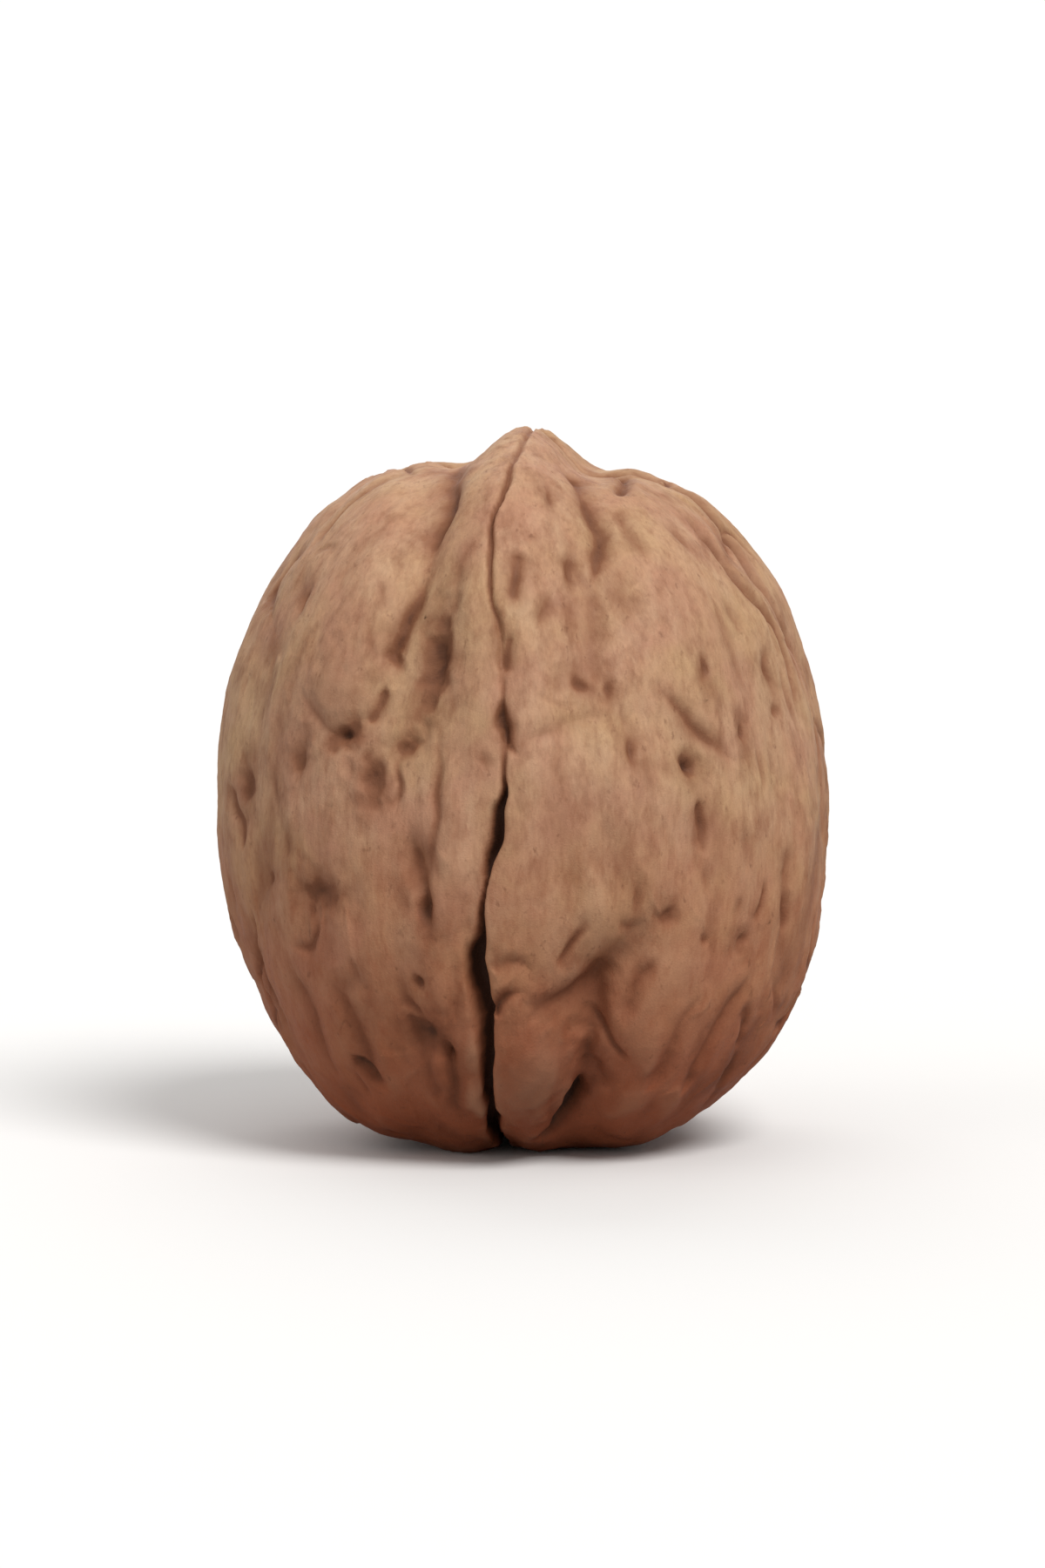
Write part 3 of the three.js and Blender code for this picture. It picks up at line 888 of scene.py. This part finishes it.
    def plate(self, skin: Skin, warped: np.ndarray, aside: np.ndarray) -> None:
        """Parts the cheeks and the back into long low plates.

        Args:
            skin: The skin's sizes.
            warped: The grain, bent this way and that.
            aside: How much each point belongs to the cheeks and back, from 0 to 1.
        """
        border, own = cells_at(warped + 40, *skin.plate)
        felt = notch(border, skin.plate_edge, 3) * aside
        felt *= smoothstep(-0.1, 0.35, noise_at(self.grain, 5, 14))
        # the creases round the plates are browned, partly with painted shade
        self.press_in(skin.plate_depth * felt, skin.plate_stain_and_shade * felt)
        self.rise += skin.plate_swell * aside * (smoothstep(0, 1.8, border) - 1) * (0.4 + 0.6 * own)

    def roughen(self) -> None:
        """Gives the skin its fine unevenness, mostly along the grain."""
        for uneven in FINE_RELIEF:
            grain = self.grain * np.array([1, 1, uneven.drawn_out])
            self.rise += uneven.rise * noise_at(grain, uneven.size, uneven.seed)
        self.rise += PORES.rise * noise_at(self.points, PORES.size, PORES.seed)


# ---------------------------------------------------------------- the shell's finish


@dataclass
class NodeBoard:
    """A material's node tree, with short ways to add and join its nodes."""

    tree: bpy.types.NodeTree

    def add(self, kind: str, inputs: dict[Any, Any] | None = None, **settings: Any) -> bpy.types.Node:
        """Adds a node.

        Args:
            kind: Its type, such as ShaderNodeTexNoise.
            inputs: What each input gets, by name or number: a socket to join, or a value.
            **settings: Its settings.

        Returns:
            The node.
        """
        node = self.tree.nodes.new(kind)
        for name, value in settings.items():
            setattr(node, name, value)
        for name, value in (inputs or {}).items():
            if isinstance(value, bpy.types.NodeSocket):
                self.tree.links.new(value, node.inputs[name])
            else:
                node.inputs[name].default_value = value
        return node

    def attribute(self, name: str, output: str) -> bpy.types.NodeSocket:
        """Reads an attribute of the piece: its "Fac" for a number, its "Vector" for a vector."""
        return self.add("ShaderNodeAttribute", attribute_name=name).outputs[output]

    def stretched(self, vector: bpy.types.NodeSocket, scale: Colour) -> bpy.types.NodeSocket:
        """Scales a vector along each axis."""
        return self.add("ShaderNodeMapping", {"Vector": vector, "Scale": scale}).outputs["Vector"]

    def noise(self, vector: bpy.types.NodeSocket, scale: float, detail: float) -> bpy.types.NodeSocket:
        """Adds noise of a scale and detail, from 0 to 1."""
        inputs = {"Vector": vector, "Scale": scale, "Detail": detail, "Roughness": 0.6}
        return self.add("ShaderNodeTexNoise", inputs).outputs["Fac"]

    def remap(self, value: bpy.types.NodeSocket, old: tuple[float, float], new: tuple[float, float]) -> Any:
        """Maps a range of values to another, and no further.

        Args:
            value: The value.
            old: The range that it has.
            new: The range that it gets.

        Returns:
            The output socket.
        """
        inputs = {"Value": value, 1: old[0], 2: old[1], 3: new[0], 4: new[1]}
        return self.add("ShaderNodeMapRange", inputs).outputs["Result"]

    def mix(self, amount: Any, first: Any, second: Any, how: str = "MIX") -> bpy.types.NodeSocket:
        """Mixes two colours.

        Args:
            amount: How much of the second, as a socket or a number.
            first: A socket or a colour.
            second: A socket or a colour.
            how: The blend type.

        Returns:
            The output socket.
        """
        inputs = {0: amount, 6: rgba(first), 7: rgba(second)}
        node = self.add("ShaderNodeMix", data_type="RGBA", blend_type=how)
        for number, value in inputs.items():
            if isinstance(value, bpy.types.NodeSocket):
                self.tree.links.new(value, node.inputs[number])
            else:
                node.inputs[number].default_value = value
        return node.outputs[2]

    def sum(self, first: Any, second: Any, how: str = "ADD") -> bpy.types.NodeSocket:
        """Joins two numbers, by adding them unless another way is named."""
        return self.add("ShaderNodeMath", {0: first, 1: second}, operation=how).outputs[0]


def rgba(colour: Any) -> Any:
    """A colour with its alpha, or a socket as it is."""
    return colour if isinstance(colour, bpy.types.NodeSocket) else (*colour, 1.0)


@dataclass(frozen=True)
class Blotches:
    """Blotches of another colour, laid over the last one."""

    per_mm: float  # how fine they are
    detail: float
    drawn_out: float  # how wide they are, against their length down the shell
    levels: tuple[float, float]  # the levels of their noise where they start and are full
    strength: float = 1.0

    def amount(self, board: NodeBoard, grain: bpy.types.NodeSocket) -> bpy.types.NodeSocket:
        """Builds the noise behind them.

        Args:
            board: The material's nodes.
            grain: The grain's coordinates, in mm.

        Returns:
            How much of their colour there is.
        """
        noise = board.noise(board.stretched(grain, (1, 1, self.drawn_out)), self.per_mm, self.detail)
        return board.remap(noise, self.levels, (0, self.strength))


@dataclass(frozen=True)
class ShellFinish:
    """Dry walnut shell: matt, tan on the high parts and red-brown in the furrows, with painted shade in the
    furrows and the crack and towards the foot.
    """

    name: str = "walnut_shell"
    honey: Colour = (0.50, 0.30, 0.163)
    rose: Colour = (0.47, 0.245, 0.150)
    pale: Colour = (0.59, 0.385, 0.240)
    # painted shade: the red-brown that the lower part of the nut is darkened towards
    foot_painted_shade: Colour = (0.34, 0.086, 0.034)
    russet: Colour = (0.235, 0.09, 0.043)
    # painted shade: the redder brown of the furrows near the foot
    foot_shade_russet: Colour = (0.205, 0.056, 0.024)
    umber: Colour = (0.135, 0.048, 0.022)
    # painted shade: the black deep in the crack and the furrows
    deep_painted_shade: Colour = (0.055, 0.022, 0.013)
    clouds: Blotches = Blotches(0.16, 3, 1, (0.38, 0.62))  # rose over honey
    wash: Blotches = Blotches(0.45, 4, 0.5, (0.45, 0.72), 0.5)  # pale
    mottle: Blotches = Blotches(0.75, 4, 0.45, (0.48, 0.7), 0.55)  # russet
    streaks: Blotches = Blotches(2.0, 4, 0.4, (0.5, 0.75), 0.42)  # russet
    specks: Blotches = Blotches(2.4, 2, 0.6, (0.64, 0.76), 0.4)  # umber
    fibres: tuple[float, float] = (0.93, 1.06)  # how dark and how light a fibre is
    low: tuple[float, float] = (0.06, 0.54)  # the shares of the height where the painted shade at the foot is full and ends
    # how much of that painted shade the foot gets
    foot_painted_shade_amount: float = 0.95
    roughness: tuple[float, float] = (0.56, 0.78)
    specular: float = 0.22
    bump_strength: float = 0.55
    bump_depth: float = 0.11  # mm

    def material(self, height: float) -> bpy.types.Material:
        """Makes the material.

        Args:
            height: The nut's height, in metres.

        Returns:
            The material.
        """
        material = bpy.data.materials.new(self.name)
        material.use_nodes = True
        board = NodeBoard(material.node_tree)
        shader = material.node_tree.nodes["Principled BSDF"]
        shader.inputs["Specular IOR Level"].default_value = self.specular
        grain = board.attribute("grain", "Vector")
        colour = self.colour(board, grain, height)
        board.tree.links.new(colour, shader.inputs["Base Color"])
        cloud = board.noise(grain, 0.9, 3)
        board.tree.links.new(board.remap(cloud, (0.3, 0.7), self.roughness), shader.inputs["Roughness"])
        board.tree.links.new(self.bump(board, grain), shader.inputs["Normal"])
        return material

    def colour(self, board: NodeBoard, grain: bpy.types.NodeSocket, height: float) -> bpy.types.NodeSocket:
        """Builds the shell's colour.

        Args:
            board: The material's nodes.
            grain: The grain's coordinates, in mm.
            height: The nut's height, in metres.

        Returns:
            The colour's socket.
        """
        colour = board.mix(self.clouds.amount(board, grain), self.honey, self.rose)
        colour = board.mix(self.wash.amount(board, grain), colour, self.pale)
        colour = board.mix(self.mottle.amount(board, grain), colour, self.russet)
        colour = board.mix(self.streaks.amount(board, grain), colour, self.russet)
        fibres = board.noise(board.stretched(grain, (1, 1, 0.22)), 5.5, 3)
        fibres = board.remap(fibres, (0.35, 0.7), self.fibres)
        fibres = board.add("ShaderNodeCombineColor", {0: fibres, 1: fibres, 2: fibres}).outputs[0]
        colour = board.mix(1.0, colour, fibres, "MULTIPLY")
        # painted shade: darker and redder towards the foot
        place = board.add("ShaderNodeTexCoord").outputs["Object"]
        up = board.add("ShaderNodeSeparateXYZ", {0: place}).outputs["Z"]
        low = board.remap(up, (self.low[0] * height, self.low[1] * height), (self.foot_painted_shade_amount, 0))
        colour = board.mix(low, colour, self.foot_painted_shade)
        # the brown with painted shade of the furrows, dents and crack, darkest in the crack
        stain_and_shade = board.attribute("stain_and_shade", "Fac")
        blotch = board.remap(board.noise(grain, 1.3, 3), (0.3, 0.7), (0.88, 1.12))
        stain_and_shade = board.sum(stain_and_shade, blotch, "MULTIPLY")
        # near the foot the furrows' brown turns redder and darker: painted shade
        brown = board.mix(low, self.russet, self.foot_shade_russet)
        colour = board.mix(board.remap(stain_and_shade, (0.04, 0.5), (0, 0.85)), colour, brown)
        colour = board.mix(board.remap(stain_and_shade, (0.4, 0.8), (0, 0.85)), colour, self.umber)
        # painted shade: black where the crack and the furrows are deepest
        colour = board.mix(board.remap(stain_and_shade, (0.75, 1.0), (0, 0.9)), colour, self.deep_painted_shade)
        ridge = board.remap(board.attribute("ridge", "Fac"), (0.05, 0.4), (0, 0.25))
        colour = board.mix(ridge, colour, self.pale)
        return board.mix(self.specks.amount(board, grain), colour, self.umber)

    def bump(self, board: NodeBoard, grain: bpy.types.NodeSocket) -> bpy.types.NodeSocket:
        """Builds the relief that is too fine for the mesh.

        Args:
            board: The material's nodes.
            grain: The grain's coordinates, in mm.

        Returns:
            The normal's socket.
        """
        fibres = board.noise(board.stretched(grain, (1, 1, 0.45)), 3.5, 5)
        pores = board.noise(grain, 9, 3)
        height = board.sum(board.sum(fibres, 0.6, "MULTIPLY"), board.sum(pores, 0.4, "MULTIPLY"))
        inputs = {"Height": height, "Strength": self.bump_strength, "Distance": self.bump_depth * MM}
        return board.add("ShaderNodeBump", inputs).outputs["Normal"]


# ---------------------------------------------------------------- the shell


@dataclass
class WalnutShell:
    """The whole outside of the nut, one closed piece."""

    node: str = "walnut"
    body: str = "root"
    slot: str = "shell"
    name: str = "walnut_shell"
    widest: float = 0.43  # share of the height of its widest section
    press_levels: int = 6  # how finely the blank is divided before it is pressed to the mould
    fine_levels: int = 2  # and how often again before it is carved
    kept: float = 0.252  # share of the carved faces that stay
    tip: Tip = Tip()
    skin: Skin = Skin()
    finish: ShellFinish = field(default_factory=ShellFinish)
    scattered: ScatteredPits = field(default_factory=ScatteredPits)

    def __post_init__(self) -> None:
        """Reads the nut's box from the frame."""
        low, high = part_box(self.node)
        self.low, self.high = np.array(low), np.array(high)
        self.height = float(high.z - low.z)
        self.middle = Vector((0, 0, low.z + self.widest * self.height))

    def build(self) -> bpy.types.Object:
        """Makes the finished piece.

        Returns:
            The piece, riding on its body.
        """
        mould = self.mould()
        shell = self.blank()
        self.press(shell, mould)
        bpy.data.objects.remove(mould)
        self.carve(shell)
        self.thin(shell)
        self.unfold(shell)
        self.dress(shell)
        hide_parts(self.node)
        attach(shell, self.body)
        return shell

    def mould(self) -> bpy.types.Object:
        """Copies the frame's solid and softens its facets.

        Returns:
            The mould.
        """
        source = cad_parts[self.node]
        mould = bpy.data.objects.new("mould", source.data.copy())
        bpy.context.scene.collection.objects.link(mould)
        apply_modifier(mould, "WELD", merge_threshold=0.001 * MM)
        apply_modifier(mould, "SUBSURF", levels=1, render_levels=1)
        return mould

    def blank(self) -> bpy.types.Object:
        """Makes a ball of even square faces round the mould.

        Returns:
            The ball.
        """
        bpy.ops.object.select_all(action="DESELECT")
        bpy.ops.mesh.primitive_cube_add(size=2 * self.height, location=self.middle)
        ball = bpy.context.active_object
        ball.name = ball.data.name = self.name
        bpy.ops.object.transform_apply(location=True, rotation=True, scale=True)
        apply_modifier(ball, "SUBSURF", levels=self.press_levels, render_levels=self.press_levels)
        select_only(ball)
        bpy.ops.object.mode_set(mode="EDIT")
        bpy.ops.mesh.select_all(action="SELECT")
        bpy.ops.transform.tosphere(value=1.0)
        bpy.ops.object.mode_set(mode="OBJECT")
        return ball

    def press(self, shell: bpy.types.Object, mould: bpy.types.Object) -> None:
        """Presses the ball on to the mould and divides it for carving.

        Args:
            shell: The ball.
            mould: The mould.
        """
        apply_modifier(
            shell,
            "SHRINKWRAP",
            target=mould,
            wrap_method="PROJECT",
            use_positive_direction=False,
            use_negative_direction=True,
        )
        apply_modifier(shell, "SMOOTH", factor=0.5, iterations=4)
        apply_modifier(shell, "SUBSURF", levels=self.fine_levels, render_levels=self.fine_levels)

    def carve(self, shell: bpy.types.Object) -> None:
        """Works the seam, furrows, dents and skin into the shell.

        Args:
            shell: The smooth shell.
        """
        mesh = shell.data
        points = read_points(mesh)
        faces = read_corners(mesh, 4)
        normals = face_normals_at_points(points, faces)
        surface = bvhtree.BVHTree.FromPolygons((points / MM).tolist(), faces.tolist())
        carving = Carving(points / MM, self.height / MM, self.middle.z / MM, surface)
        carving.pinch(self.tip)
        carving.wrinkle(self.skin)
        for seed, line in enumerate(LINES, start=20):
            carving.cut_line(line, seed)
        for seed, pit in enumerate([*PITS, *self.scattered.pits()], start=60):
            carving.dent(pit, seed)
        carving.open_seam(FRONT_SEAM, carving.is_front)
        carving.open_seam(BACK_SEAM, ~carving.is_front)
        carving.roughen()
        moved = self.fitted(points + normals * (carving.rise * MM)[:, None])
        mesh.vertices.foreach_set("co", moved.astype(np.float32).ravel())
        write_attribute(mesh, "stain_and_shade", carving.stain_and_shade)
        write_attribute(mesh, "ridge", np.clip(carving.rise, 0, 1))
        write_attribute(mesh, "grain", carving.grain)
        mesh.update()

    def fitted(self, points: np.ndarray) -> np.ndarray:
        """Keeps the shell on the ground and in its box.

        Args:
            points: The carved points.

        Returns:
            The points, brought to the box of the frame's solid.
        """
        low, high = points.min(0), points.max(0)
        low[2] = self.low[2]
        fitted = self.low + (points - low) / (high - low) * (self.high - self.low)
        fitted[:, 2] = np.maximum(fitted[:, 2], self.low[2])
        return fitted

    def thin(self, shell: bpy.types.Object) -> None:
        """Takes out the faces that the flatter stretches can spare, and smooths the shading.

        Args:
            shell: The carved shell.
        """
        apply_modifier(shell, "DECIMATE", ratio=self.kept, use_collapse_triangulate=True)
        select_only(shell)
        bpy.ops.object.shade_smooth()

    def unfold(self, shell: bpy.types.Object) -> None:
        """Lays the shell out flat as the six sides of a box, two rows of three.

        Args:
            shell: The thinned shell.
        """
        mesh = shell.data
        points = read_points(mesh) - np.array(self.middle)
        corners = points[read_corners(mesh, 3)]
        centres = corners.mean(axis=1)
        axis = np.abs(centres).argmax(axis=1)
        rows = np.arange(len(centres))
        side = axis + 3 * (centres[rows, axis] < 0)
        ahead = corners[rows, :, axis]
        flat = np.stack([corners[rows, :, (axis + 1) % 3], corners[rows, :, (axis + 2) % 3]], axis=2)
        spread = np.arctan(flat / np.abs(ahead)[:, :, None]) / (math.pi / 4)
        spread[:, :, 0] *= np.sign(ahead[:, :1])
        cell = np.stack([side % 3, side // 3], axis=1)[:, None, :]
        places = (cell + 0.5 + 0.46 * spread) / np.array([3, 2])
        mesh.uv_layers.new(name="OFBake").data.foreach_set("uv", places.astype(np.float32).ravel())

    def dress(self, shell: bpy.types.Object) -> None:
        """Gives the shell its finish."""
        shell.data.materials.clear()
        shell.data.materials.append(self.finish.material(self.height))


# ---------------------------------------------------------------- the studio


@dataclass
class Studio:
    """A plain pale floor, soft light and the camera."""

    floor_reach: float = 40.0
    floor_shade: float = 0.84
    floor_bounce: float = 0.4  # its shade in the light that it throws back on the nut
    sky_light: float = 0.46
    sky_seen: float = 1.05
    # Each light's power, its width in the sky, and its azimuth and elevation, in degrees.
    key: tuple[float, float, float, float] = (2.3, 28, 42, 50)
    left_fill: tuple[float, float, float, float] = (0.42, 60, -55, 25)
    back_fill: tuple[float, float, float, float] = (0.9, 60, 195, 35)
    azimuth: float = 6.7
    elevation: float = 6.0
    lens: float = 180.0
    frame_height: float = 0.09  # how much the picture's height takes in at the nut

    def build(self) -> None:
        """Sets up the floor, lights and camera."""
        self.floor()
        self.sky()
        self.lamp("key", self.key)
        self.lamp("left_fill", self.left_fill)
        self.lamp("back_fill", self.back_fill)
        self.camera()

    def floor(self) -> bpy.types.Object:
        """Lays the floor.

        Returns:
            The floor.
        """
        bpy.ops.object.select_all(action="DESELECT")
        bpy.ops.mesh.primitive_plane_add(size=2 * self.floor_reach)
        floor = bpy.context.active_object
        floor.name = "floor"
        material = bpy.data.materials.new("floor_white")
        material.use_nodes = True
        board = NodeBoard(material.node_tree)
        shader = material.node_tree.nodes["Principled BSDF"]
        seen = board.add("ShaderNodeLightPath").outputs["Is Camera Ray"]
        shade = board.mix(seen, (self.floor_bounce,) * 3, (self.floor_shade,) * 3)
        board.tree.links.new(shade, shader.inputs["Base Color"])
        shader.inputs["Roughness"].default_value = 0.9
        shader.inputs["Specular IOR Level"].default_value = 0.1
        floor.data.materials.append(material)
        return floor

    def sky(self) -> None:
        """Lights the scene evenly from all round, and shows as white behind the floor."""
        world = bpy.data.worlds.new("studio_sky")
        world.use_nodes = True
        board = NodeBoard(world.node_tree)
        seen = board.add("ShaderNodeLightPath").outputs["Is Camera Ray"]
        background = world.node_tree.nodes["Background"]
        background.inputs["Color"].default_value = (1.0, 0.985, 0.965, 1.0)
        strength = board.remap(seen, (0, 1), (self.sky_light, self.sky_seen))
        board.tree.links.new(strength, background.inputs["Strength"])
        bpy.context.scene.world = world

    def lamp(self, name: str, light: tuple[float, float, float, float]) -> None:
        """Hangs one wide soft light, far off.

        Args:
            name: Its name.
            light: Its power, its width in the sky, and its azimuth and elevation, in degrees.
        """
        power, softness, azimuth, elevation = light
        lamp = bpy.data.lights.new(name, "SUN")
        lamp.energy = power
        lamp.angle = math.radians(softness)
        lamp.color = (1.0, 0.985, 0.965)
        holder = bpy.data.objects.new(name, lamp)
        holder.rotation_euler = (math.radians(90 - elevation), 0, math.radians(azimuth))
        bpy.context.scene.collection.objects.link(holder)

    def camera(self) -> None:
        """Sets up the camera, aimed at the middle of the nut."""
        low, high = CAD_BOX
        middle = (low + high) / 2
        camera = bpy.data.cameras.new("camera")
        camera.lens = self.lens
        distance = self.lens * self.frame_height / camera.sensor_width
        turn = Euler((math.radians(90 - self.elevation), 0, math.radians(self.azimuth)))
        holder = bpy.data.objects.new("camera", camera)
        holder.rotation_euler = turn
        holder.location = middle + turn.to_matrix() @ Vector((0, 0, distance))
        camera.clip_end = 100
        bpy.context.scene.collection.objects.link(holder)
        bpy.context.scene.camera = holder
        bpy.context.scene.view_settings.view_transform = "Standard"


def main() -> None:
    """Builds the studio and the nut, and notes how many triangles the finished piece has."""
    logging.basicConfig(level=logging.INFO, format="%(name)s: %(message)s")
    Studio().build()
    log.info("studio ready")
    shell = WalnutShell().build()
    log.info("%s: %d triangles", shell.name, len(shell.data.loop_triangles))


if __name__ == "__main__":
    main()
